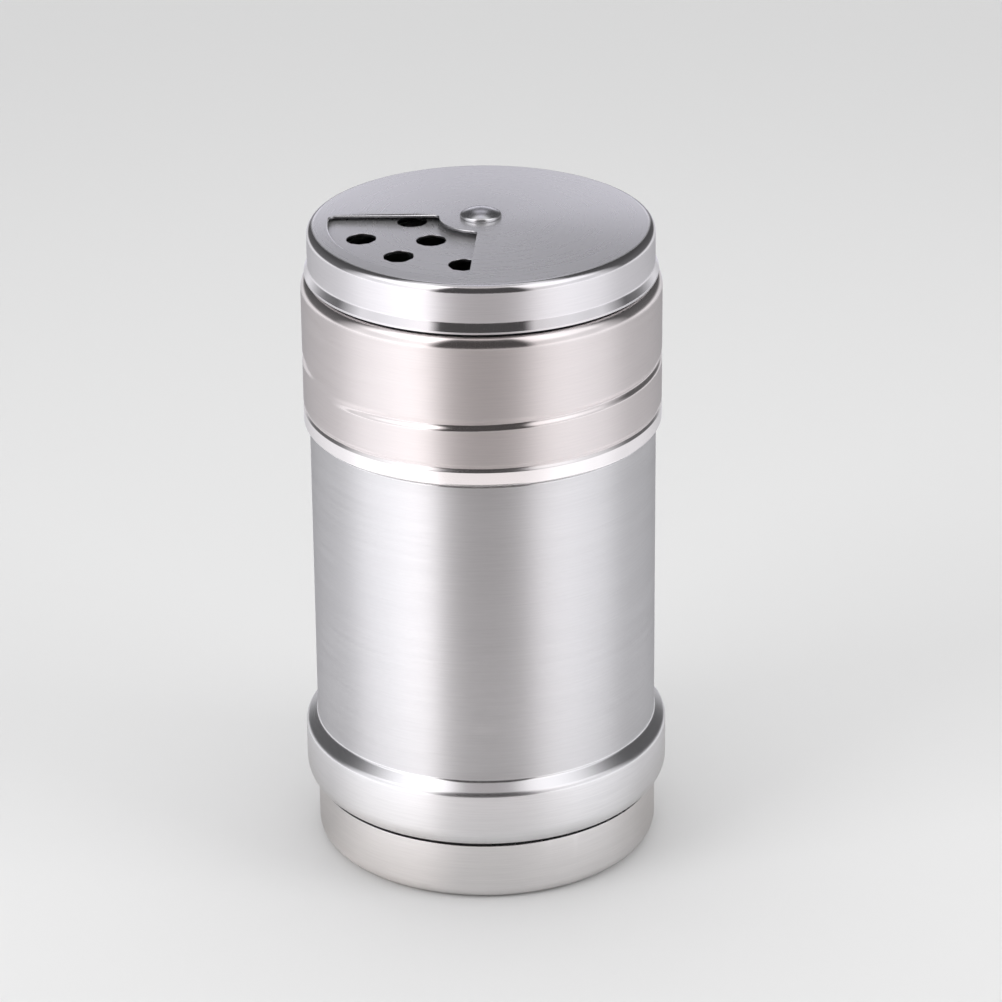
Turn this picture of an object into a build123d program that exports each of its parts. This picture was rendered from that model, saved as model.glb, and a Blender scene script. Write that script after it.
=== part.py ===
# Steel spice shaker with a screw lid and a rotating top cover.
# Millimetres, +Z up, origin at the centre of the face that it stands on.
# The window of the cover opens towards the front left, and the front looks along -Y.
import os
from math import cos, radians, sin, sqrt, tan

from build123d import *

# Sheet thickness of the drawn pieces
can_sheet = 0.4
cup_sheet = 0.4
lid_sheet = 0.4
cover_sheet = 0.4

# Canister: brushed tube, bulged into a ring near the foot and stepped in to a neck
can_radius = 25.5
bulge_depth = 1.75
bulge_low_height = 10.85
bulge_low_fillet = 3.1
lip_run = 1.05
bulge_height = 7.55
bulge_top_fillet = 1.2
bulge_shoulder_rise = 1.45
bulge_root_fillet = 0.6
can_shoulder_height = 67.0
neck_step = 0.35
neck_step_rise = 0.45
neck_step_fillet = 0.4
neck_height = 22.2
rim_fillet = 0.7
rim_flange = 1.15

# Base cup: the foot and floor, seated inside the bulged ring
foot_inset = 1.65
foot_fillet = 2.1
foot_ring_width = 3.8
flare_root_fillet = 0.6
cup_seat_gap = 0.05
cup_wall_above_flare = 4.4
panel_slope_run = 1.0
panel_rise = 0.8
panel_fillet = 0.7

# Screw lid: skirt with a rolled hem, shoulder, collar and sprinkle plate in one piece
thread_play = 0.3
lid_bottom_gap = 0.4
hem_lip = 0.6
hem_height = 2.3
hem_fillet = 0.55
crease_depth = 0.28
crease_flank = 0.45
crease_land = 0.25
crease_fillet = 0.3
shoulder_fillet = 2.1
shoulder_width = 2.75
collar_root_fillet = 0.5
collar_top_fillet = 0.8
collar_height = 6.65
plate_edge_run = 1.4
plate_crown = 0.5
boss_inset = 0.2
boss_slope_run = 1.0

# Rolled two-start thread of the skirt and the neck, with its bearings from +X
thread_starts = 2
thread_lead = 3.65
thread_turn = 172.0
thread_bearing = 213.0
thread_rise = 9.4
ridge_depth = 0.5
ridge_round = 0.8
groove_depth = 0.45
groove_round = 0.85
ridge_overrun = 4.0

# Rotating cover with its window
cover_collar_gap = 1.3
cover_gap = 0.2
cover_lip_run = 0.5
cover_lip_rise = 1.5
cover_lip_edge = 0.3
cover_lip_root_fillet = 1.2
cover_lip_fillet = 0.25
cover_edge_run = 2.9
cover_edge_fillet = 1.3
cover_crown = 0.88
cover_rim_clearance = 0.35
hub_margin = 0.6
window_hub_web = 2.4
window_rim_inset = 0.3
window_back_bearing = 172.3
window_front_bearing = 265.3
window_corner = 0.8

# Sprinkle holes: large ones by distance from the pivot and bearing
large_hole_diameter = 4.3
large_holes = [(17.9, 196), (16.9, 226), (16.0, 261), (9.6, 222), (10.0, 173)]

# Small ones in rows, each with its distance from the pivot, its number and its spacing in degrees
small_hole_diameter = 2.0
small_row_distances = [18.5, 14.5, 10.5]
small_row_counts = [6, 5, 4]
small_row_spacings = [13.0, 15.5, 19.0]
small_rows_bearing = 322.0

# Pivot rivet with a spring washer and a backing washer under the plate
shank_radius = 1.5
head_radius = 3.0
head_rim = 0.45
head_dome = 0.9
tail_radius = 2.5
tail_height = 0.9
tail_fillet = 0.4
pivot_clearance = 0.05
washer_clearance = 0.1
washer_inset = 0.3
spring_sheet = 0.3
spring_lift = 0.35
backing_height = 0.5

# Sealing ring between the rim of the canister and the shoulder of the lid
gasket_overhang = 0.25
gasket_play = 1.0
gasket_fillet = 0.7
gasket_height = 0.8


def crown_height(radius, edge_radius, edge_height, crown):
    """Height of a spherical crown at a distance from the pivot."""
    sphere_radius = (edge_radius**2 + crown**2) / (2 * crown)
    return edge_height + crown - sphere_radius + sqrt(sphere_radius**2 - radius**2)


def crown_edge_slope(edge_radius, crown):
    """Fall over run of a spherical crown at its edge."""
    return 2 * crown * edge_radius / (edge_radius**2 - crown**2)


def at_bearing(distance, bearing):
    """A point of the plan at a distance from the pivot and a bearing from +X."""
    return (distance * cos(radians(bearing)), distance * sin(radians(bearing)))


def thread_helix(radius, bearing, turn, height):
    """A stretch of the thread's helix about Z, from a bearing upwards through a turn in degrees."""
    helix = Helix(thread_lead, thread_lead * turn / 360, radius, center=(0, 0, height), mode=Mode.PRIVATE)
    return helix.rotate(Axis.Z, bearing)


def ridge_helix(radius, bearing, height):
    """Helix of a ridge, which runs on past both ends of its groove."""
    below = thread_lead * ridge_overrun / 360
    return thread_helix(radius, bearing - ridge_overrun, thread_turn + 2 * ridge_overrun, height - below)


def section_plane(path):
    """Plane across the start of a helix, with its X axis pointing away from Z."""
    start = path @ 0
    return Plane(origin=start, x_dir=(start.X, start.Y, 0), z_dir=path % 0)


def save(part, name):
    """Name a finished piece and write its file."""
    part.label = name
    export_step(part, f"parts/{name}.step")


# Radii that follow from the pieces that bear on each other
neck_radius = can_radius - neck_step
bulge_radius = can_radius + bulge_depth
cup_rim_radius = bulge_radius - can_sheet - cup_seat_gap
foot_radius = bulge_radius - foot_inset
foot_ring_radius = foot_radius - foot_ring_width
lid_radius = neck_radius + ridge_depth + thread_play + lid_sheet
collar_radius = lid_radius - shoulder_width
plate_edge_radius = collar_radius - plate_edge_run
cover_radius = collar_radius + cover_collar_gap + cover_sheet
cover_edge_radius = cover_radius - cover_edge_run
hub_radius = head_radius + hub_margin
boss_radius = hub_radius - boss_inset
boss_root_radius = boss_radius + boss_slope_run
washer_radius = boss_radius - washer_inset
washer_hole_radius = shank_radius + washer_clearance
pivot_hole_radius = shank_radius + pivot_clearance
window_inner_radius = hub_radius + window_hub_web
window_outer_radius = cover_edge_radius - window_rim_inset
gasket_inner_radius = neck_radius - rim_flange - gasket_overhang
gasket_outer_radius = lid_radius - lid_sheet - gasket_play

# Heights that follow, from the foot upwards
flare_height = bulge_low_height + (can_sheet + cup_seat_gap) * tan(radians(22.5))
flare_run = cup_rim_radius - foot_radius
bulge_top_height = bulge_low_height + bulge_height
rim_height = can_shoulder_height + neck_height
lid_bottom = can_shoulder_height + lid_bottom_gap
gasket_top = rim_height + gasket_height
shoulder_height = gasket_top + lid_sheet
plate_edge_height = shoulder_height + collar_height
cover_bottom = shoulder_height + cover_gap
cover_edge_height = plate_edge_height + cover_rim_clearance + cover_sheet
cover_top = crown_height(hub_radius, cover_edge_radius, cover_edge_height, cover_crown)
boss_height = cover_top - cover_sheet
spring_top = boss_height - lid_sheet
spring_bottom = spring_top - spring_sheet - spring_lift
backing_bottom = spring_bottom - backing_height

# Where the starts of the thread begin, with the ridges of the neck midway between those of the skirt
thread_bearings = [thread_bearing + 360 * start / thread_starts for start in range(thread_starts)]
thread_height = can_shoulder_height + thread_rise
neck_thread_height = thread_height + thread_lead / (2 * thread_starts)

os.makedirs("parts", exist_ok=True)

# Canister
neck_middle = neck_radius - can_sheet / 2
neck_crest = neck_radius + ridge_depth - neck_middle
neck_groove_radius = neck_radius - can_sheet + groove_depth - groove_round

with BuildPart() as canister:
    with BuildSketch(Plane.XZ):
        with BuildLine():
            FilletPolyline(
                (bulge_radius - lip_run, bulge_low_height - lip_run),
                (bulge_radius, bulge_low_height),
                (bulge_radius, bulge_top_height),
                (can_radius, bulge_top_height + bulge_shoulder_rise),
                (can_radius, can_shoulder_height),
                (neck_radius, can_shoulder_height + neck_step_rise),
                (neck_radius, rim_height),
                (neck_radius - rim_flange, rim_height),
                radius=[
                    bulge_low_fillet,
                    bulge_top_fillet,
                    bulge_root_fillet,
                    neck_step_fillet,
                    neck_step_fillet,
                    rim_fillet,
                ],
            )
            offset(amount=can_sheet, side=Side.LEFT)
        make_face()
    revolve(axis=Axis.Z)
    for bearing in thread_bearings:
        ridge = ridge_helix(neck_middle, bearing, neck_thread_height)
        with BuildSketch(section_plane(ridge)):
            with Locations((neck_crest - ridge_round, 0)):
                Circle(ridge_round)
            Rectangle(neck_crest, 2 * ridge_round, align=(Align.MIN, Align.CENTER), mode=Mode.INTERSECT)
        sweep(path=ridge, is_frenet=True)
        groove = thread_helix(neck_groove_radius, bearing, thread_turn, neck_thread_height)
        with BuildSketch(section_plane(groove)):
            Circle(groove_round)
        sweep(path=groove, is_frenet=True, mode=Mode.SUBTRACT)
        with Locations(groove @ 0, groove @ 1):
            Sphere(groove_round, mode=Mode.SUBTRACT)
save(canister.part, "canister")

# Base cup
with BuildPart() as base_cup:
    with BuildSketch(Plane.XZ):
        with BuildLine():
            FilletPolyline(
                (0, panel_rise),
                (foot_ring_radius - panel_slope_run, panel_rise),
                (foot_ring_radius, 0),
                (foot_radius, 0),
                (foot_radius, flare_height - flare_run),
                (cup_rim_radius, flare_height),
                (cup_rim_radius, flare_height + cup_wall_above_flare),
                radius=[
                    panel_fillet,
                    panel_fillet,
                    foot_fillet,
                    flare_root_fillet,
                    bulge_low_fillet - can_sheet - cup_seat_gap,
                ],
            )
            offset(amount=cup_sheet, side=Side.LEFT)
        make_face()
    revolve(axis=Axis.Z)
save(base_cup.part, "base_cup")

# Screw lid
skirt_middle = lid_radius - lid_sheet / 2
skirt_crest = skirt_middle - (lid_radius - lid_sheet - ridge_depth)
skirt_groove_radius = lid_radius - groove_depth + groove_round
crease_height = lid_bottom + hem_height + crease_flank
collar_corner_height = plate_edge_height - plate_edge_run * crown_edge_slope(plate_edge_radius, plate_crown)


def plate_point(radius):
    """Point of the crowned plate's upper face at a distance from the pivot."""
    return (radius, crown_height(radius, plate_edge_radius, plate_edge_height, plate_crown))


with BuildPart() as screw_lid:
    with BuildSketch(Plane.XZ):
        with BuildLine():
            FilletPolyline(
                (lid_radius - hem_lip, lid_bottom),
                (lid_radius, lid_bottom),
                (lid_radius, lid_bottom + hem_height),
                (lid_radius - crease_depth, crease_height),
                (lid_radius - crease_depth, crease_height + crease_land),
                (lid_radius, crease_height + crease_land + crease_flank),
                (lid_radius, shoulder_height),
                (collar_radius, shoulder_height),
                (collar_radius, collar_corner_height),
                plate_point(plate_edge_radius),
                radius=[
                    hem_fillet,
                    crease_fillet,
                    crease_fillet,
                    crease_fillet,
                    crease_fillet,
                    shoulder_fillet,
                    collar_root_fillet,
                    collar_top_fillet,
                ],
            )
            ThreePointArc(
                plate_point(plate_edge_radius),
                plate_point(plate_edge_radius / 2),
                plate_point(boss_root_radius),
            )
            Polyline(plate_point(boss_root_radius), (boss_radius, boss_height), (0, boss_height))
            offset(amount=lid_sheet, side=Side.LEFT)
        make_face()
    revolve(axis=Axis.Z)
    for bearing in thread_bearings:
        ridge = ridge_helix(skirt_middle, bearing, thread_height)
        with BuildSketch(section_plane(ridge)):
            with Locations((ridge_round - skirt_crest, 0)):
                Circle(ridge_round)
            Rectangle(skirt_crest, 2 * ridge_round, align=(Align.MAX, Align.CENTER), mode=Mode.INTERSECT)
        sweep(path=ridge, is_frenet=True)
        groove = thread_helix(skirt_groove_radius, bearing, thread_turn, thread_height)
        with BuildSketch(section_plane(groove)):
            Circle(groove_round)
        sweep(path=groove, is_frenet=True, mode=Mode.SUBTRACT)
        with Locations(groove @ 0, groove @ 1):
            Sphere(groove_round, mode=Mode.SUBTRACT)
    with BuildSketch(Plane.XY.offset(shoulder_height)):
        with Locations([at_bearing(distance, bearing) for distance, bearing in large_holes]):
            Circle(large_hole_diameter / 2)
        for distance, count, spacing in zip(small_row_distances, small_row_counts, small_row_spacings):
            first = small_rows_bearing - spacing * (count - 1) / 2
            with Locations([at_bearing(distance, first + spacing * place) for place in range(count)]):
                Circle(small_hole_diameter / 2)
        Circle(pivot_hole_radius)
    extrude(amount=cover_top - shoulder_height, mode=Mode.SUBTRACT)
save(screw_lid.part, "screw_lid")

# Rotating cover
cover_corner_height = cover_edge_height - cover_edge_run * crown_edge_slope(cover_edge_radius, cover_crown)


def cover_point(radius):
    """Point of the crowned cover's upper face at a distance from the pivot."""
    return (radius, crown_height(radius, cover_edge_radius, cover_edge_height, cover_crown))


with BuildPart() as rotary_cover:
    with BuildSketch(Plane.XZ):
        with BuildLine():
            Line((0, cover_top), cover_point(hub_radius))
            ThreePointArc(
                cover_point(hub_radius),
                cover_point(cover_edge_radius / 2),
                cover_point(cover_edge_radius),
            )
            FilletPolyline(
                cover_point(cover_edge_radius),
                (cover_radius, cover_corner_height),
                (cover_radius, cover_bottom + cover_lip_rise),
                (cover_radius + cover_lip_run, cover_bottom + cover_lip_edge),
                (cover_radius + cover_lip_run, cover_bottom),
                radius=[cover_edge_fillet, cover_lip_root_fillet, cover_lip_fillet],
            )
            offset(amount=cover_sheet, side=Side.RIGHT)
        make_face()
    revolve(axis=Axis.Z)
    with BuildSketch(Plane.XY.offset(cover_bottom)) as window:
        Circle(window_outer_radius)
        Circle(window_inner_radius, mode=Mode.SUBTRACT)
        with BuildLine():
            Polyline(
                (0, 0),
                at_bearing(2 * cover_radius, window_back_bearing),
                at_bearing(2 * cover_radius, (window_back_bearing + window_front_bearing) / 2),
                at_bearing(2 * cover_radius, window_front_bearing),
                close=True,
            )
        make_face(mode=Mode.INTERSECT)
        fillet(window.vertices(), radius=window_corner)
        Circle(pivot_hole_radius)
    extrude(amount=cover_top - cover_bottom, mode=Mode.SUBTRACT)
save(rotary_cover.part, "rotary_cover")

# Pivot rivet
head_edge_height = cover_top + head_rim
with BuildPart() as pivot_rivet:
    with BuildSketch(Plane.XZ):
        with BuildLine():
            dome = ThreePointArc(
                (0, head_edge_height + head_dome),
                (head_radius / 2, crown_height(head_radius / 2, head_radius, head_edge_height, head_dome)),
                (head_radius, head_edge_height),
            )
            Polyline(
                dome @ 1,
                (head_radius, cover_top),
                (shank_radius, cover_top),
                (shank_radius, backing_bottom),
                (tail_radius, backing_bottom),
                (tail_radius, backing_bottom - tail_height),
                (0, backing_bottom - tail_height),
                dome @ 0,
            )
        make_face()
    revolve(axis=Axis.Z)
    tail_edge = pivot_rivet.edges().filter_by(GeomType.CIRCLE).group_by(Axis.Z)[0]
    fillet(tail_edge, radius=tail_fillet)
save(pivot_rivet.part, "pivot_rivet")

# Spring washer, a cone that bears on the boss with its outer edge
with BuildPart() as spring_washer:
    with BuildSketch(Plane.XZ):
        with BuildLine():
            Polyline(
                (washer_hole_radius, spring_bottom),
                (washer_radius, spring_bottom + spring_lift),
                (washer_radius, spring_top),
                (washer_hole_radius, spring_bottom + spring_sheet),
                close=True,
            )
        make_face()
    revolve(axis=Axis.Z)
save(spring_washer.part, "spring_washer")

# Backing washer
with BuildPart() as backing_washer:
    with BuildSketch(Plane.XY.offset(backing_bottom)):
        Circle(washer_radius)
        Circle(washer_hole_radius, mode=Mode.SUBTRACT)
    extrude(amount=backing_height)
save(backing_washer.part, "backing_washer")

# Sealing ring
with BuildPart() as lid_gasket:
    with BuildSketch(Plane.XY.offset(rim_height)):
        Circle(gasket_outer_radius)
        Circle(gasket_inner_radius, mode=Mode.SUBTRACT)
    extrude(amount=gasket_height)
    gasket_corner = lid_gasket.edges().group_by(Axis.Z)[-1].sort_by(SortBy.RADIUS)[-1]
    fillet(gasket_corner, radius=gasket_fillet)
save(lid_gasket.part, "lid_gasket")
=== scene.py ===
import math

import bmesh
import bpy
import numpy as np
from mathutils import Matrix, Vector
from mathutils.geometry import delaunay_2d_cdt


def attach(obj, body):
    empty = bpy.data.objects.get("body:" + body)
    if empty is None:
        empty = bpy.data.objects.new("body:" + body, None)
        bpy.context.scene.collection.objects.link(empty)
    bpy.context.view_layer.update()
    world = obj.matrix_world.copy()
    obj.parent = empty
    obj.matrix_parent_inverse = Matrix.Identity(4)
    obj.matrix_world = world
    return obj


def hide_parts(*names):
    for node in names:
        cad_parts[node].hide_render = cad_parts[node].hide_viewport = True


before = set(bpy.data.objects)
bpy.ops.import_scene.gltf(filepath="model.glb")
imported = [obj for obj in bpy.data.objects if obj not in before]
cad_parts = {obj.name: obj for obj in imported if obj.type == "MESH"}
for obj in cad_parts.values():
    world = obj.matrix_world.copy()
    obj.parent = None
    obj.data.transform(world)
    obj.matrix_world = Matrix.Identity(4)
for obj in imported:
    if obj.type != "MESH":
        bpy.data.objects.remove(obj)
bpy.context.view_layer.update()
print("frame loaded")

mm = 0.001  # all the sizes below are in millimetres

# camera

cameraView = {
    "aimHeight": 53.5,
    "distance": 651.3,
    "pitch": 24.25,       # degrees down
    "roll": -0.62,
    "lens": 157.28,
    "shiftX": 0.01717,
}


def makeCamera(v):
    cam = bpy.data.objects.new("photoCamera", bpy.data.cameras.new("photoCamera"))
    bpy.context.scene.collection.objects.link(cam)
    cam.data.sensor_width = 36
    cam.data.lens = v["lens"]
    cam.data.shift_x = v["shiftX"]
    cam.data.clip_start = 0.01
    pitch = math.radians(v["pitch"])
    aim = Vector((0, 0, v["aimHeight"]))
    away = Vector((0, -math.cos(pitch), math.sin(pitch)))
    turn = Matrix.Rotation(math.radians(90 - v["pitch"]), 4, "X") @ Matrix.Rotation(math.radians(v["roll"]), 4, "Z")
    cam.matrix_world = Matrix.Translation((aim + away * v["distance"]) * mm) @ turn
    bpy.context.scene.camera = cam


makeCamera(cameraView)
print("camera placed")

# profile and mesh helpers

meshing = {
    "sharpAngle": 28,        # degrees between faces from which an edge is shaded sharp
    "merge": 0.01,           # points nearer than this become one
    "spacing": 0.8,          # between the points of a punched disc; the next three are shares of it
    "edgeGap": 0.6,
    "rowStep": 0.87,
    "nearest": 0.45,
    "rimAngles": (0.39, 0.79, 1.18, math.pi / 2),     # steps in which the top of a hole's rim rounds over
    "underRim": 0.02,        # height of the bevel at its lower edge
}


def roundedPath(corners, radii, step):
    # a run of (radius, height) points with an arc at each inner corner, one point every few degrees
    points = [np.array(corners[0], float)]
    for before, corner, after, radius in zip(corners, corners[1:], corners[2:], radii):
        p, q, s = (np.array(x, float) for x in (before, corner, after))
        a, b = (p - q) / np.linalg.norm(p - q), (s - q) / np.linalg.norm(s - q)
        turn = math.pi - math.acos(np.clip(a @ b, -1, 1))
        reach = radius * math.tan(turn / 2)
        start, end = q + a * reach, q + b * reach
        centre = q + (a + b) / np.linalg.norm(a + b) * radius / math.cos(turn / 2)
        count = max(3, int(math.degrees(turn) / step) + 1)
        u, w = start - centre, end - centre
        for i in range(count + 1):
            t = i / count
            mix = (math.sin((1 - t) * turn) * u + math.sin(t * turn) * w) / math.sin(turn)
            points.append(centre + mix)
    points.append(np.array(corners[-1], float))
    return points


def leftNormals(points):
    pts = np.array(points)
    along = np.gradient(pts, axis=0)
    along /= np.linalg.norm(along, axis=1)[:, None]
    return np.stack([-along[:, 1], along[:, 0]], 1)


def insideOf(points, sheet):
    # the other face of a sheet, to the left of the path, without the loops that tight corners leave
    pts = np.array(points)
    moved = pts + leftNormals(points) * sheet
    keep = []
    a, b = pts[:-1], pts[1:]
    ab = b - a
    for m in moved:
        t = np.clip(((m - a) * ab).sum(1) / np.maximum((ab * ab).sum(1), 1e-12), 0, 1)
        gap = np.linalg.norm(m - (a + ab * t[:, None]), axis=1).min()
        if gap > sheet * 0.985:      # points in a loop come nearer than the sheet's thickness
            keep.append(m)
    return keep


def divided(points, low, high, step):
    # extra points where an upright run crosses a band of heights
    out = [points[0]]
    for p, q in zip(points, points[1:]):
        if abs(q[0] - p[0]) < 1e-6 and abs(q[1] - p[1]) > step:
            heights = np.arange(low, high, step)
            inside = [h for h in heights if min(p[1], q[1]) + step / 2 < h < max(p[1], q[1]) - step / 2]
            if q[1] < p[1]:
                inside = inside[::-1]
            out += [np.array([p[0], h]) for h in inside]
        out.append(q)
    return out


def lathe(bm, points, segments, closed=False, shift=None):
    # revolves (radius, height) points about Z; shift(angle, radius, height) moves a point outwards
    rings = []
    for r, z in points:
        if r < 1e-6:
            rings.append([bm.verts.new((0, 0, z * mm))])
            continue
        ring = []
        for j in range(segments):
            angle = 2 * math.pi * j / segments
            at = r + (shift(angle, r, z) if shift else 0)
            ring.append(bm.verts.new((at * math.cos(angle) * mm, at * math.sin(angle) * mm, z * mm)))
        rings.append(ring)
    pairs = list(zip(rings, rings[1:])) + ([(rings[-1], rings[0])] if closed else [])
    for low, high in pairs:
        for j in range(segments):
            k = (j + 1) % segments
            if len(low) == 1:
                bm.faces.new((low[0], high[k], high[j]))
            elif len(high) == 1:
                bm.faces.new((low[j], low[k], high[0]))
            else:
                bm.faces.new((low[j], low[k], high[k], high[j]))


def crownHeight(r, edgeRadius, edgeHeight, crown):
    sphere = (edgeRadius ** 2 + crown ** 2) / (2 * crown)
    return edgeHeight + crown - sphere + math.sqrt(sphere ** 2 - r ** 2)


def circleLoop(x, y, radius, count=32):
    # points and the normals that lead away from the hole
    loop = []
    for i in range(count):
        a = 2 * math.pi * i / count
        n = np.array((math.cos(a), math.sin(a)))
        loop.append((np.array((x, y)) + n * radius, n))
    return loop


def isInside(point, loop):
    x, y = point
    inside = False
    for (a, _), (b, _) in zip(loop, loop[1:] + loop[:1]):
        if (a[1] > y) != (b[1] > y) and x < (b[0] - a[0]) * (y - a[1]) / (b[1] - a[1]) + a[0]:
            inside = not inside
    return inside


def punchedDisc(bm, edgeRadius, segments, topOf, slopeOf, sheet, loops, softEdges):
    # a crowned disc of sheet with punched holes, whose outer ring meets a lathed wall; each hole has a function
    # in softEdges that gives the radius of its rim's rounding from the direction away from the hole
    spacing = meshing["spacing"]
    outer = [(edgeRadius * math.cos(2 * math.pi * j / segments), edgeRadius * math.sin(2 * math.pi * j / segments))
             for j in range(segments)]
    softs = [[soft(n) for _, n in loop] for loop, soft in zip(loops, softEdges)]
    rims = [[p + n * soft for (p, n), soft in zip(loop, row)] for loop, row in zip(loops, softs)]
    flat = [tuple(p) for p in outer]
    edges = [(j, (j + 1) % segments) for j in range(segments)]
    for rim in rims:
        base = len(flat)
        flat += [tuple(p) for p in rim]
        edges += [(base + i, base + (i + 1) % len(rim)) for i in range(len(rim))]
    fixed = np.array(flat)
    radius = edgeRadius - spacing * meshing["edgeGap"]
    while radius > spacing:              # rings of points that make even triangles
        count = max(6, int(2 * math.pi * radius / spacing))
        for i in range(count):
            a = 2 * math.pi * (i + 0.5 * (int(radius / spacing) % 2)) / count
            p = np.array((radius * math.cos(a), radius * math.sin(a)))
            if np.linalg.norm(fixed - p, axis=1).min() < spacing * meshing["nearest"]:
                continue
            if any(isInside(p, loop) for loop in loops):
                continue
            flat.append(tuple(p))
        radius -= spacing * meshing["rowStep"]
    verts, _, tris, _, _, _ = delaunay_2d_cdt([Vector(p) for p in flat], edges, [], 0, 1e-7)
    top, bottom = [], []
    for v in verts:
        r = v.length
        slope = slopeOf(r)
        lean = math.atan(slope)
        out = (v.x / r, v.y / r) if r > 1e-9 else (0, 0)
        z = topOf(r)
        down = (-out[0] * math.sin(lean) * sheet, -out[1] * math.sin(lean) * sheet, -math.cos(lean) * sheet)
        top.append(bm.verts.new((v.x * mm, v.y * mm, z * mm)))
        bottom.append(bm.verts.new(((v.x + down[0]) * mm, (v.y + down[1]) * mm, (z + down[2]) * mm)))
    for tri in tris:
        centre = np.array([verts[i] for i in tri]).mean(0)
        if any(isInside(centre, loop) for loop in loops):
            continue
        a, b, c = tri
        up = (verts[b] - verts[a]).cross(verts[c] - verts[a]) > 0
        order = (a, b, c) if up else (a, c, b)
        bm.faces.new([top[i] for i in order])
        bm.faces.new([bottom[i] for i in reversed(order)])
    index = {tuple(np.round(v, 6)): i for i, v in enumerate(verts)}
    for loop, rim, row in zip(loops, rims, softs):
        rimTop = [top[index[tuple(np.round(Vector(p), 6))]] for p in rim]
        rimLow = [bottom[index[tuple(np.round(Vector(p), 6))]] for p in rim]
        rings = [rimTop]
        for angle in meshing["rimAngles"]:
            ring = []
            for (p, n), soft, up in zip(loop, row, rimTop):
                x, y = p + n * soft * (1 - math.sin(angle))
                ring.append(bm.verts.new((x * mm, y * mm, up.co.z - soft * (1 - math.cos(angle)) * mm)))
            rings.append(ring)
        rings.append([bm.verts.new((p[0] * mm, p[1] * mm, low.co.z + meshing["underRim"] * mm))
                      for (p, n), low in zip(loop, rimLow)])
        rings.append(rimLow)
        for above, below in zip(rings, rings[1:]):
            for i in range(len(loop)):
                k = (i + 1) % len(loop)
                bm.faces.new((above[i], above[k], below[k], below[i]))
        for i, vert in enumerate(rimTop):
            bm.edges.get((vert, rimTop[(i + 1) % len(rimTop)])).seam = True      # kept sharp in makePiece


def makePiece(name, bm, body, nodes):
    bmesh.ops.remove_doubles(bm, verts=bm.verts, dist=meshing["merge"] * mm)
    bmesh.ops.recalc_face_normals(bm, faces=bm.faces)
    mesh = bpy.data.meshes.new(name)
    bm.to_mesh(mesh)
    bm.free()
    mesh.shade_smooth()
    mesh.set_sharp_from_angle(angle=math.radians(meshing["sharpAngle"]))
    for edge in mesh.edges:
        if edge.use_seam:
            edge.use_edge_sharp, edge.use_seam = True, False
    piece = bpy.data.objects.new(name, mesh)
    bpy.context.scene.collection.objects.link(piece)
    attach(piece, body)
    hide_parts(*nodes)
    print(name, len(mesh.polygons), "faces")
    return piece


# rolled thread, shared by the lid and the neck

thread = {
    "lead": 3.65,        # rise in a whole turn
    "turn": 172,         # degrees that each of the two grooves runs
    "bearing": 213,      # where the first one starts, and how high
    "height": 76.4,
    "halfWidth": 0.92,
    "overrun": 2,        # degrees past both ends
    "fade": 26,          # degrees over which a groove runs out
}


def threadShape(t, height):
    # how deep the roll presses at an angle and height, from 0 to 1
    def shape(angle, z):
        deep = 0
        for start in (0, 180):
            along = (math.degrees(angle) - t["bearing"] - start + 30) % 360 - 30     # from -30 to 330 degrees
            if not -t["overrun"] < along < t["turn"] + t["overrun"]:
                continue
            s = (z - height - t["lead"] * along / 360) / t["halfWidth"]
            if abs(s) >= 1:
                continue
            ends = min(along + t["overrun"], t["turn"] + t["overrun"] - along) / t["fade"]
            ease = min(1, max(0, ends))
            deep = max(deep, math.cos(s * math.pi / 2) ** 2 * ease * ease * (3 - 2 * ease))
        return deep
    return shape


# canister

canisterForm = {
    "corners": [(26.05, 9.8), (27.25, 10.85), (27.25, 18.4), (25.5, 19.85), (25.5, 67.0), (25.15, 67.45),
                (25.15, 89.2), (24.0, 89.2)],
    "radii": [3.1, 1.2, 0.6, 0.4, 0.4, 0.7],
    "arcStep": 6,                      # degrees between the points of a rounding
    "sheet": 0.4,
    "segments": 320,
    "ridge": 0.42,
    "threadBand": (75.1, 82, 0.2),     # low and high end, and the height of its rows
    "bulgeTop": 19.6,                  # up to here the faces take the bulge's steel
}


def makeCanister(c):
    path = divided(roundedPath(c["corners"], c["radii"], c["arcStep"]), *c["threadBand"])
    inner = divided(insideOf(path, c["sheet"]), *c["threadBand"])
    shape = threadShape(thread, thread["height"] + thread["lead"] / 4)      # midway between the lid's grooves
    bm = bmesh.new()
    lathe(bm, path + inner[::-1], c["segments"], closed=True, shift=lambda a, r, z: c["ridge"] * shape(a, z))
    return makePiece("canisterShell", bm, "canister", ["canister"])


canister = makeCanister(canisterForm)

# base cup

cupForm = {
    "corners": [(0, 0.8), (20.8, 0.8), (21.8, 0), (25.6, 0), (25.6, 9.1), (25.05, 9.2), (25.05, 9.62), (26.8, 11.37),
                (26.8, 15.436)],
    "radii": [0.7, 0.7, 2.1, 0.08, 0.05, 0.1, 2.2],
    "arcStep": 6,
    "seam": (9.2, 11.5, 24.6),         # the narrow waist under the bulge's lip: heights and least radius
    "sheet": 0.4,
    "segments": 256,
}


def makeCup(c):
    path = roundedPath(c["corners"], c["radii"], c["arcStep"])
    inner = insideOf(path, c["sheet"])
    inner[0] = np.array((0, inner[0][1]))
    bm = bmesh.new()
    lathe(bm, path + inner[::-1], c["segments"])
    return makePiece("baseCup", bm, "canister", ["base_cup"])


baseCup = makeCup(cupForm)

# screw lid

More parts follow.
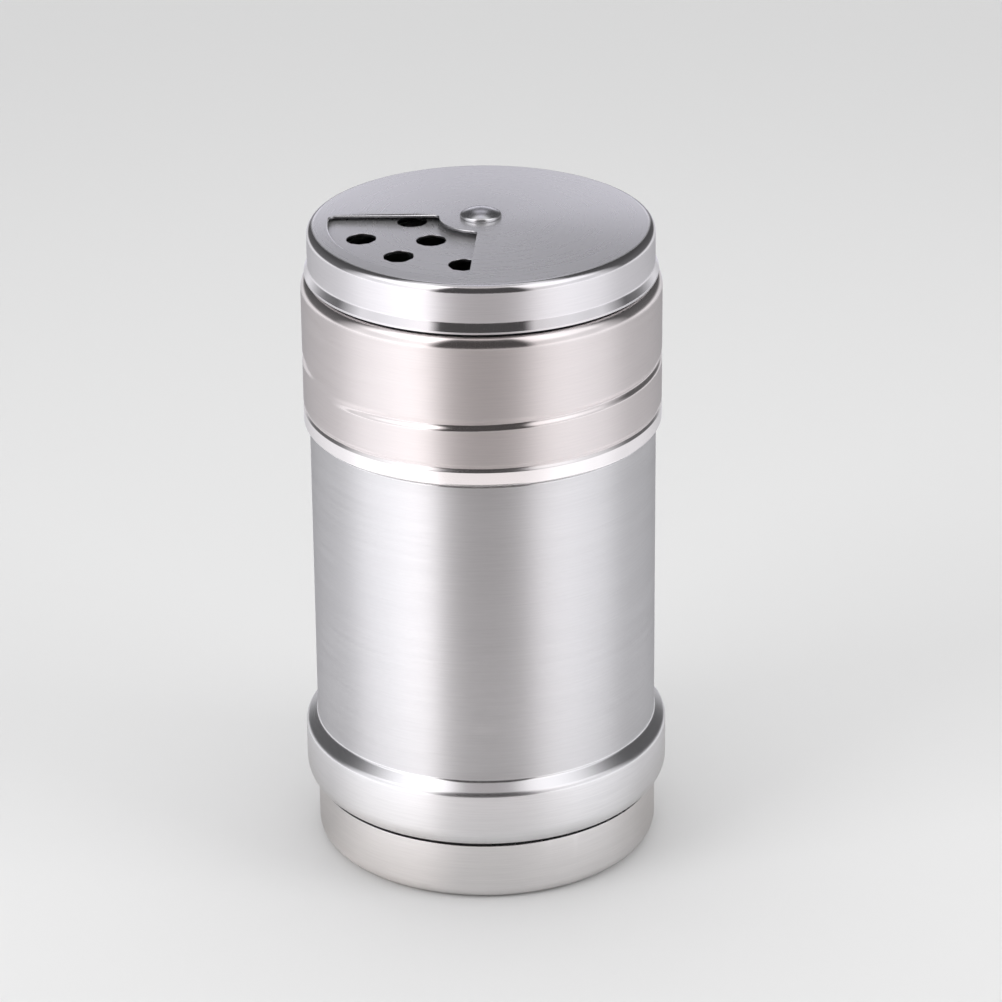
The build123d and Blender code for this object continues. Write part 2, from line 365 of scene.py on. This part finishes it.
lidForm = {
    "corners": [(25.75, 67.4), (26.35, 67.4), (26.35, 69.7), (26.07, 70.15), (26.07, 70.4), (26.35, 70.85),
                (26.35, 90.4), (23.6, 90.4), (23.6, 96.987), (22.2, 97.05)],
    "radii": [0.55, 0.3, 0.3, 0.3, 0.3, 2.1, 0.5, 0.8],
    "arcStep": 6,
    "sheet": 0.4,
    "segments": 320,
    "groove": 0.42,
    "threadBand": (74.3, 80.5, 0.13),     # low and high end, and the height of its rows
    "innerRows": 0.3,                     # the same for the inner face
    "plateEdge": (22.2, 97.05, 0.5),      # radius, height and crown
    "plateSphere": 493,                   # radius of the crowned plate
    "boss": (4.4, 3.4, 98.257),           # foot radius, top radius and height
    "holeRadius": 2.15,
    "holePoints": 56,
    "holes": [(17.9, 196), (16.9, 226), (16.0, 261), (9.6, 222), (10.0, 173)],     # distance and bearing
    "smallRadius": 1.0,
    "smallRows": [(18.5, 6, 13.0), (14.5, 5, 15.5), (10.5, 4, 19.0)],     # distance, number and degrees between
    "smallBearing": 322,
    "pivotRadius": 1.55,
    "rim": 0.09,                          # how wide a hole's rim is rounded
    "plateZone": (96.5, 22.25),           # least height and largest radius of the sprinkle plate
    "gapZone": (90.1, 25.2),              # the same for the shoulder under the cover's lip
    "beadTop": 70,                        # up to here the faces take the bead's steel
}


def makeLid(c):
    path = divided(roundedPath(c["corners"], c["radii"], c["arcStep"]), *c["threadBand"])
    inner = divided(insideOf(path, c["sheet"]), *c["threadBand"][:2], c["innerRows"])
    shape = threadShape(thread, thread["height"])
    bm = bmesh.new()
    lathe(bm, inner[::-1] + path, c["segments"], shift=lambda a, r, z: -c["groove"] * shape(a, z))
    edge, edgeHeight, crown = c["plateEdge"]
    foot, topRadius, bossHeight = c["boss"]

    def topOf(r):
        base = crownHeight(min(r, edge), edge, edgeHeight, crown)
        if r >= foot:
            return base
        t = min(1, (foot - r) / (foot - topRadius))
        return base + (bossHeight - crownHeight(foot, edge, edgeHeight, crown)) * t * t * (3 - 2 * t)

    def slopeOf(r):
        return r / c["plateSphere"] if r > foot else 0

    def at(distance, bearing):
        return distance * math.cos(math.radians(bearing)), distance * math.sin(math.radians(bearing))

    loops = [circleLoop(*at(d, b), c["holeRadius"], c["holePoints"]) for d, b in c["holes"]]
    for distance, count, spread in c["smallRows"]:
        first = c["smallBearing"] - spread * (count - 1) / 2
        loops += [circleLoop(*at(distance, first + spread * i), c["smallRadius"]) for i in range(count)]
    loops.append(circleLoop(0, 0, c["pivotRadius"]))
    punchedDisc(bm, edge, c["segments"], topOf, slopeOf, c["sheet"], loops, [lambda n: c["rim"]] * len(loops))
    return makePiece("screwLid", bm, "lid", ["screw_lid"])


screwLid = makeLid(lidForm)

# rotating cover

coverForm = {
    "corners": [(25.8, 90.6), (25.8, 90.9), (25.3, 92.1), (25.3, 97.572), (22.4, 97.8)],
    "radii": [0.25, 1.2, 1.3],
    "arcStep": 5,
    "sheet": 0.4,
    "segments": 512,
    "topEdge": (22.4, 97.8, 0.88),              # radius, height and crown
    "hub": 3.6,                                 # radius of the flat under the rivet
    "window": (6.0, 22.1, 172.3, 265.3, 0.8),   # radii, bearings and corner radius
    "windowSteps": (90, 40, 8),                 # of the outer arc, the inner arc and a corner
    "rim": 0.24,                                # how wide the window's rim is rounded, and the pivot hole's
    "pivotRim": 0.05,
    "pivotRadius": 1.55,
    "plateZone": (96.5, 97, 22.3),              # least heights of its walls and top, and largest radius
    "level": 0.95,                              # upward share of the normal of the faces that count as flat
}


def windowLoop(inner, outer, first, last, corner, outerSteps, innerSteps, cornerSteps):
    # annular sector with rounded corners, with normals that lead away from the window
    loop = []
    first, last = math.radians(first), math.radians(last)

    def arc(centre, radius, a0, a1, count, sign=1):
        for i in range(count + 1):
            a = a0 + (a1 - a0) * i / count
            n = np.array((math.cos(a), math.sin(a)))
            loop.append((np.array(centre) + n * radius, n * sign))

    def cornerArc(reach, bearing, a0, a1):
        arc((reach * math.cos(bearing), reach * math.sin(bearing)), corner, a0, a1, cornerSteps)

    reachOut, reachIn = outer - corner, inner + corner
    leanOut, leanIn = math.asin(corner / reachOut), math.asin(corner / reachIn)
    arc((0, 0), outer, first + leanOut, last - leanOut, outerSteps)
    cornerArc(reachOut, last - leanOut, last - leanOut, last + math.pi / 2)
    cornerArc(reachIn, last - leanIn, last + math.pi / 2, last - leanIn + math.pi)
    arc((0, 0), inner, last - leanIn, first + leanIn, innerSteps, -1)
    cornerArc(reachIn, first + leanIn, first + leanIn + math.pi, first + 3 * math.pi / 2)
    cornerArc(reachOut, first + leanOut, first - math.pi / 2, first + leanOut)
    clean = []
    for p, n in loop:
        if not clean or np.linalg.norm(p - clean[-1][0]) > 1e-4:
            clean.append((p, n))
    if np.linalg.norm(clean[0][0] - clean[-1][0]) < 1e-4:
        clean.pop()
    return clean


def makeCover(c):
    path = roundedPath(c["corners"], c["radii"], c["arcStep"])
    inner = insideOf(path, c["sheet"])
    edge, edgeHeight, crown = c["topEdge"]
    sphere = (edge ** 2 + crown ** 2) / (2 * crown)
    bm = bmesh.new()
    lathe(bm, inner[::-1] + path, c["segments"])
    hubHeight = crownHeight(c["hub"], edge, edgeHeight, crown)
    loops = [windowLoop(*c["window"], *c["windowSteps"]), circleLoop(0, 0, c["pivotRadius"])]
    # the rounding of the window's rim gets narrow at the right edge
    punchedDisc(bm, edge, c["segments"], lambda r: min(hubHeight, crownHeight(r, edge, edgeHeight, crown)),
                lambda r: r / math.sqrt(sphere ** 2 - r ** 2), c["sheet"], loops,
                [lambda n: c["rim"] * min(1, 1.1 - n[0]), lambda n: c["pivotRim"]])
    return makePiece("rotaryCover", bm, "cover", ["rotary_cover"])


rotaryCover = makeCover(coverForm)

# pivot rivet

rivetForm = {
    "base": 98.657,
    "headRadius": 3.0,
    "rim": 0.45,
    "dome": 0.9,
    "shank": 1.5,
    "tailRadius": 2.5,
    "tailTop": 96.707,
    "tailBottom": 95.807,
    "tailRadii": [0.4, 0.08],
    "headRadii": [0.14, 0.35],
    "arcSteps": (9, 12),          # of the tail and the head
    "rimBevel": (0.3, 0.19),
    "domeRings": 16,
    "segments": 96,
}


def makeRivet(c):
    rimTop = c["base"] + c["rim"]
    tailStep, headStep = c["arcSteps"]
    inset, rise = c["rimBevel"]
    path = roundedPath([(0, c["tailBottom"]), (c["tailRadius"], c["tailBottom"]), (c["tailRadius"], c["tailTop"]),
                        (c["shank"], c["tailTop"])], c["tailRadii"], tailStep)
    path += roundedPath([(c["shank"], c["base"]), (c["headRadius"], c["base"]), (c["headRadius"], rimTop),
                         (c["headRadius"] - inset, rimTop + rise)], c["headRadii"], headStep)
    for i in range(c["domeRings"]):
        r = (c["headRadius"] - inset) * (1 - (i + 1) / c["domeRings"])
        path.append(np.array((r, crownHeight(r, c["headRadius"], rimTop, c["dome"]))))
    bm = bmesh.new()
    lathe(bm, path, c["segments"])
    return makePiece("pivotRivet", bm, "lid", ["pivot_rivet"])


pivotRivet = makeRivet(rivetForm)

# materials


class Socket:
    # a shader socket that takes part in sums
    def __init__(self, tree, out):
        self.tree = tree
        self.out = out

    def math(self, operation, *others):
        return self.tree.node("ShaderNodeMath", {"operation": operation}, [self, *others])

    def __add__(self, other):
        return self.math("ADD", other)

    __radd__ = __add__

    def __mul__(self, other):
        return self.math("MULTIPLY", other)

    __rmul__ = __mul__

    def __sub__(self, other):
        return self.math("SUBTRACT", other)

    def __rsub__(self, other):
        return self.tree.node("ShaderNodeMath", {"operation": "SUBTRACT"}, [other, self])

    def __truediv__(self, other):
        return self.math("DIVIDE", other)


class Material:
    # a node tree; the method node makes any node, and stops are those of a colour ramp
    def __init__(self, name, world=None):
        self.material = world or bpy.data.materials.new(name)
        self.material.use_nodes = True
        self.links = self.material.node_tree.links
        self.nodes = self.material.node_tree.nodes
        self.nodes.clear()
        self.output = self.nodes.new("ShaderNodeOutputWorld" if world else "ShaderNodeOutputMaterial")

    def node(self, kind, settings=None, inputs=None, out=0):
        made = self.nodes.new(kind)
        for key, value in (settings or {}).items():
            if key == "stops":
                ramp = made.color_ramp
                while len(ramp.elements) < len(value):
                    ramp.elements.new(0.5)
                for element, (place, level) in zip(ramp.elements, value):
                    element.position = place
                    element.color = (level, level, level, 1)
            else:
                setattr(made, key, value)
        entries = enumerate(inputs) if isinstance(inputs, list) else (inputs or {}).items()
        for key, value in entries:
            if isinstance(value, Socket):
                self.links.new(value.out, made.inputs[key])
            else:
                made.inputs[key].default_value = value
        return Socket(self, made.outputs[out])

    def split(self, source="Object"):
        # the three parts of a coordinate
        parts = self.node("ShaderNodeSeparateXYZ", {}, {0: self.node("ShaderNodeTexCoord", out=source)})
        return [Socket(self, out) for out in parts.out.node.outputs]

    def mix(self, share, first, second):
        # a blend of two colours
        return self.node("ShaderNodeMix", {"data_type": "RGBA"}, {0: share, 6: first, 7: second}, out=2)

    def surface(self, shader):
        self.links.new(shader.out, self.output.inputs["Surface"])
        return self.material


def clamp01(value):
    return value.tree.node("ShaderNodeClamp", {}, {"Value": value})


def rising(value, start, width):
    # grows from 0 to 1 over the width from the start on
    return clamp01((value - start) / width)


steelLook = {
    "can": {"colour": (0.79, 0.785, 0.79), "rough": 0.49, "anisotropy": 0.9, "streaks": 0.07, "relief": 0.006,
            "shine": 0.2},
    "bulge": {"colour": (0.79, 0.785, 0.79), "rough": 0.4, "anisotropy": 0.62, "streaks": 0.06, "relief": 0.006,
              "shine": 0.27},
    "foot": {"colour": (0.785, 0.765, 0.76), "rough": 0.38, "anisotropy": 0.4, "streaks": 0.05, "relief": 0.005,
             "shine": 0.25},
    "lid": {"colour": (0.785, 0.74, 0.728), "rough": 0.48, "anisotropy": 0.88, "streaks": 0.06, "relief": 0.005,
            "shine": 0.15},
    "bead": {"colour": (0.79, 0.765, 0.76), "rough": 0.22, "anisotropy": 0.0, "streaks": 0.02, "relief": 0.0,
             "shine": 0.2},
    "cover": {"colour": (0.77, 0.755, 0.765), "rough": 0.43, "anisotropy": 0.85, "streaks": 0.06, "relief": 0.005,
              "shine": 0.13},
    "flat": {"colour": (0.76, 0.755, 0.768), "rough": 0.28, "anisotropy": 0.45, "streaks": 0.02, "relief": 0.003,
             "shine": 0.15, "metal": 0.82},
    "rivet": {"colour": (0.76, 0.76, 0.77), "rough": 0.24, "anisotropy": 0.0, "streaks": 0.0, "relief": 0.0,
              "shine": 0.24},
}

brushing = {
    # how often the lines change around the axis, and across them in a metre
    "fine": {"around": 5.0, "across": 5200.0, "detail": 3.0, "roughness": 0.6},
    "broad": {"around": 2.0, "across": 1700.0, "detail": 2.0, "roughness": 0.5},
    "shares": (1.3, 0.7),            # of fine and broad lines in the colour
    "contrast": 15,
    "dark": 0.86,
    "bump": 0.25,
    "rounded": (0.03, 0.2),          # upward share of the normal where a rounding starts to shine
    "level": (0.985, 0.02),          # and up to which it does
}


def shaded(colour, share):
    return (*[part * share for part in colour], 1)


def brushedSteel(name, look, b):
    # satin steel brushed around the axis, with roundings that shine more than its walls and flats
    m = Material(name)
    x, y, z = m.split()
    angle = y.math("ARCTAN2", x)
    radius = (x * x + y * y).math("SQRT")

    def lines(s):
        place = m.node("ShaderNodeCombineXYZ", {}, [angle * s["around"], z * s["across"], radius * s["across"]])
        return m.node("ShaderNodeTexNoise", {}, {"Vector": place, "Scale": 1.0, "Detail": s["detail"],
                                                 "Roughness": s["roughness"]}) - 0.5

    fine, broad = lines(b["fine"]), lines(b["broad"])
    up = m.split("Normal")[2]
    level, levelWidth = b["level"]
    rounded = rising(up, *b["rounded"]) * clamp01((level - up) / levelWidth)
    brushed = 1 - rounded
    rough = look["rough"] + fine * look["streaks"] * 2 + broad * look["streaks"] * 2
    rough = rough * brushed + rounded * look["shine"]
    fineShare, broadShare = b["shares"]
    drawn = (fine * fineShare + broad * broadShare) * brushed * (look["streaks"] * b["contrast"])
    base = m.mix(clamp01(drawn + 0.5), shaded(look["colour"], b["dark"]), shaded(look["colour"], 1))
    inputs = {"Base Color": base, "Metallic": look.get("metal", 1.0), "Roughness": rough,
              "Anisotropic": look["anisotropy"], "Anisotropic Rotation": 0.25}
    if look["relief"]:
        inputs["Normal"] = m.node("ShaderNodeBump", {}, {"Strength": b["bump"], "Distance": look["relief"] * mm,
                                                          "Height": fine * brushed})
    return m.surface(m.node("ShaderNodeBsdfPrincipled", {}, inputs))


# colour, roughness and metal of the plain surfaces
plainLook = {
    # partly the duller sheared edge of the sheet, partly painted shade: the cut walls of the cover's window and pivot
    # hole are darkened to stand for the shadowed gap beneath them
    "punchedEdgeAndShade": ((0.32, 0.32, 0.33), 0.4, 1.0),
    # painted shade: the walls of the sprinkle holes are coloured near black to stand for the dark inside of the holes
    "holeWallShade": ((0.09, 0.09, 0.095), 0.5, 1.0),
    "seamShadow": ((0.012, 0.012, 0.014), 0.8, 0.0),
    "washerSteel": ((0.6, 0.6, 0.62), 0.35, 1.0),
    "sealRubber": ((0.8, 0.8, 0.78), 0.6, 0.0),
}
grainLook = {"scale": 900.0, "detail": 3.0, "dark": 0.94, "rough": 0.1}


def plainSurface(name, colour, rough, metallic, g):
    m = Material(name)
    place = m.node("ShaderNodeTexCoord", out="Object")
    grain = m.node("ShaderNodeTexNoise", {}, {"Vector": place, "Scale": g["scale"], "Detail": g["detail"]})
    base = m.mix(grain, shaded(colour, g["dark"]), shaded(colour, 1))
    return m.surface(m.node("ShaderNodeBsdfPrincipled", {}, {"Base Color": base, "Metallic": metallic,
                                                             "Roughness": rough + (grain - 0.5) * g["rough"]}))


def dress(piece, *materials, choose=None):
    # choose(face, radius, height) gives the number of the material that a face takes
    piece.data.materials.clear()
    for material in materials:
        piece.data.materials.append(material)
    if choose:
        for face in piece.data.polygons:
            x, y, z = face.center / mm
            face.material_index = choose(face, math.hypot(x, y), z)


steels = {kind: brushedSteel(kind + "Steel", look, brushing) for kind, look in steelLook.items()}
plains = {kind: plainSurface(kind, *look, grainLook) for kind, look in plainLook.items()}
wallSlope = 0.4      # faces whose normal rises less than this count as the walls of a hole


def canisterFaces(face, r, z):
    return 1 if z < canisterForm["bulgeTop"] else 0


def cupFaces(face, r, z):
    low, high, least = cupForm["seam"]
    return 1 if low < z < high and r > least else 0


def lidFaces(face, r, z):
    plateHeight, plateRadius = lidForm["plateZone"]
    gapHeight, gapRadius = lidForm["gapZone"]
    if z > plateHeight and r < plateRadius:
        return 3 if abs(face.normal.z) < wallSlope else 1
    return 2 if z < lidForm["beadTop"] else 4 if z > gapHeight and r < gapRadius else 0


def coverFaces(face, r, z):
    wallHeight, topHeight, plateRadius = coverForm["plateZone"]
    if z > wallHeight and r < plateRadius and abs(face.normal.z) < wallSlope:
        return 2
    return 1 if face.normal.z > coverForm["level"] or z > topHeight and r < plateRadius else 0


dress(canister, steels["can"], steels["bulge"], choose=canisterFaces)
dress(baseCup, steels["foot"], plains["seamShadow"], choose=cupFaces)
dress(screwLid, steels["lid"], steels["flat"], steels["bead"], plains["holeWallShade"], plains["seamShadow"],
      choose=lidFaces)
dress(rotaryCover, steels["cover"], steels["flat"], plains["punchedEdgeAndShade"], choose=coverFaces)
dress(pivotRivet, steels["rivet"])
for nodeName in ("spring_washer", "backing_washer"):
    dress(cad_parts[nodeName], plains["washerSteel"])
dress(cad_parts["lid_gasket"], plains["sealRubber"])
print("materials done")

# floor and light

stageLook = {
    "paper": [(0, -0.02), (600, -0.02), (2500, -0.02)],
    "segments": 64,
    "floor": (0.82, 0.82, 0.82),
    "leftPaperHighlight": (1.0, 0.98, 0.96),       # painted highlight and painted shade: the paper as the metal sees it, brighter at the left and darker far to the sides
    "sidePaperShade": (0.62, 0.61, 0.6),
    "leftFrom": (0.2, 0.3),               # where these start, in radians from the front, and how wide they blend
    "sideFrom": (1.0, 0.5),
    "nearEdge": (48, 66),                 # distance from the axis over which the paper ends for the metal
    "world": (0.558, 0.558, 0.558),       # the even light from all round
    "distance": (0.73, 0.73, 0.73),       # what the camera sees far behind the object
    "distanceFade": (300, 700),
}


def stagePiece(name, points, segments, material):
    bm = bmesh.new()
    lathe(bm, points, segments)
    mesh = bpy.data.meshes.new(name)
    bm.to_mesh(mesh)
    bm.free()
    mesh.shade_smooth()
    piece = bpy.data.objects.new(name, mesh)
    bpy.context.scene.collection.objects.link(piece)
    dress(piece, material)
    return piece


def floorPaper(s):
    # beyond the near edge the metal sees the tent's lower half instead of the paper, and the camera sees
    # the paper fade into the distance
    m = Material("floorPaper")
    place = m.node("ShaderNodeTexCoord", out="Object")
    away = m.node("ShaderNodeVectorMath", {"operation": "LENGTH"}, {0: place}, out="Value") * 1000
    x, y, _ = m.split()
    bearing = x.math("ARCTAN2", y * -1.0)
    glossy = m.node("ShaderNodeLightPath", out="Is Glossy Ray")
    left = rising(bearing * -1.0, *s["leftFrom"])
    side = rising(bearing.math("ABSOLUTE"), *s["sideFrom"])
    # painted highlight and shade in the metal's reflections: only glossy rays see the brighter paper at the left and
    # the darker paper far to the sides
    colour = m.mix(left * glossy, (*s["floor"], 1), (*s["leftPaperHighlight"], 1))
    colour = m.mix(side * glossy, colour, (*s["sidePaperShade"], 1))
    paper = m.node("ShaderNodeBsdfPrincipled", {}, {"Base Color": colour, "Roughness": 0.9, "Specular IOR Level": 0.1})
    start, end = s["nearEdge"]
    far = rising(away, start, end - start) * glossy
    paper = m.node("ShaderNodeMixShader", {}, {0: far, 1: paper, 2: m.node("ShaderNodeBsdfTransparent")})
    start, end = s["distanceFade"]
    fade = rising(away, start, end - start) * m.node("ShaderNodeLightPath", out="Is Camera Ray")
    distance = m.node("ShaderNodeEmission", {}, {"Color": (*s["distance"], 1)})
    return m.surface(m.node("ShaderNodeMixShader", {}, {0: fade, 1: paper, 2: distance}))


stagePiece("floor", stageLook["paper"], stageLook["segments"], floorPaper(stageLook))


def studioWorld(s):
    world = bpy.data.worlds.new("studio")
    bpy.context.scene.world = world
    m = Material("studio", world)
    colour = m.mix(m.node("ShaderNodeLightPath", out="Is Camera Ray"), (*s["world"], 1), (*s["distance"], 1))
    m.surface(m.node("ShaderNodeBackground", {}, {"Color": colour, "Strength": 1.0}))


studioWorld(stageLook)

# soft tent around the object, which only the metal sees: bright side walls, a dim front and back
tentForm = {
    "profile": [(0, -1800), (1300, -1500), (2200, -700), (2400, 0), (2200, 900), (1300, 1700), (0, 2000)],
    "segments": 128,
    # brightness by bearing from the front, negative to the left
    "walls": [(-180, 0.66), (-137, 1.3), (-109, 1.66), (-88, 1.58), (-71, 1.62), (-55, 1.9), (-42, 2.1),
              (-35, 2.05), (-30, 1.42), (-25, 1.2), (-13, 1.16), (0, 1.16), (14, 1.16), (24, 1.16), (30, 1.2),
              (38, 1.34), (45, 1.5), (57, 1.56), (72, 1.36), (90, 1.36), (111, 1.5), (132, 1.28), (180, 0.66)],
    # share of that left by height over the object, in degrees: in front, at both sides of it, far at the sides
    # and at the back
    "frontFade": [(-90, 0.03), (-49, 0.03), (-41, 1.0), (-12, 1.0), (-4, 0.07), (90, 0.07)],
    "panelFade": [(-90, 1.0), (-6, 1.0), (3, 0.65), (26, 0.65), (34, 1.0), (90, 1.0)],
    "sideFade": [(-90, 1.2), (-46, 1.2), (-38, 0.7), (-11, 0.7), (-7, 0.85), (2, 0.11), (24, 0.09), (34, 0.07),
                 (90, 0.07)],
    "backFade": [(-90, 1.0), (-14, 1.0), (-7, 0.3), (3, 0.3), (10, 1.45), (15, 1.32), (19.5, 0.96), (22, 0.61),
                 (25, 0.46), (29, 0.27), (37, 0.2), (44, 0.9), (52, 0.9), (58, 0.15)],
    "roof": [(0, 1.25), (72, 1.25), (77, 0.6), (90, 0.6)],
    "tints": [(1.0, 0.955, 0.965, 1), (1.0, 0.995, 1.03, 1), (1.0, 0.985, 1.09, 1)],     # front, sides, back
    # where each of these starts, in degrees from the front or of height, and over how many degrees it blends
    "panelFrom": (27, 7),
    "besideFrom": (82, 20),
    "behindFrom": (160, 10),
    "tintFrom": (20, 40),
    "roofFrom": (62, 12),
    "eye": 0.05,         # height in metres that the degrees of height are measured from
    "brightest": 4,      # the ramps hold brightness divided by this
}


def tentCloth(s):
    m = Material("tentCloth")
    x, y, z = m.split()
    bearing = x.math("ARCTAN2", y * -1.0) / (2 * math.pi) + 0.5
    rise = (z - s["eye"]).math("ARCTAN2", (x * x + y * y).math("SQRT")) / math.pi + 0.5
    turned = (bearing - 0.5).math("ABSOLUTE") * 360

    def ramp(stops, low, high, fac):
        stops = [((b - low) / (high - low), v / s["brightest"]) for b, v in stops]
        return m.node("ShaderNodeValToRGB", {"stops": stops}, {"Fac": fac}) * s["brightest"]

    def byHeight(key):
        return ramp(s[key], -90, 90, rise)

    def between(low, high, share):
        return low + share * (high - low)

    walls = ramp(s["walls"], -180, 180, bearing)
    behind = rising(turned, *s["behindFrom"])
    share = between(byHeight("frontFade"), byHeight("panelFade"), rising(turned, *s["panelFrom"]))
    share = between(share, byHeight("sideFade"), rising(turned, *s["besideFrom"]))
    share = between(share, byHeight("backFade"), behind)
    over = rising(rise * 180 - 90, *s["roofFrom"])
    bright = walls * share * (1 - over) + over * byHeight("roof")
    front, side, back = s["tints"]
    tint = m.mix(behind, m.mix(rising(turned, *s["tintFrom"]), front, side), back)
    return m.surface(m.node("ShaderNodeEmission", {}, {"Color": tint, "Strength": bright}))


tent = stagePiece("tent", tentForm["profile"], tentForm["segments"], tentCloth(tentForm))
for sees in ("visible_camera", "visible_diffuse", "visible_transmission", "visible_shadow"):
    setattr(tent, sees, False)

softLights = {
    "leftBox": {"at": (-420, -300, 420), "aim": (0, 0, 40), "size": (300, 300), "power": 0.9},
    "rightBox": {"at": (480, -220, 400), "aim": (0, 0, 40), "size": (300, 300), "power": 0.7},
    "topBox": {"at": (0, 80, 620), "aim": (0, 0, 60), "size": (500, 500), "power": 1.2},
}


def makeLight(name, s):
    lamp = bpy.data.lights.new(name, "AREA")
    lamp.shape = "RECTANGLE"
    lamp.size, lamp.size_y = (v * mm for v in s["size"])
    lamp.energy = s["power"]
    holder = bpy.data.objects.new(name, lamp)
    bpy.context.scene.collection.objects.link(holder)
    at, aim = Vector(s["at"]) * mm, Vector(s["aim"]) * mm
    holder.location = at
    holder.rotation_euler = (aim - at).to_track_quat("-Z", "Y").to_euler()
    holder.visible_camera = False
    holder.visible_glossy = False


for lightName, lightSettings in softLights.items():
    makeLight(lightName, lightSettings)

bpy.context.scene.view_settings.view_transform = "Standard"
print("stage and lights done")
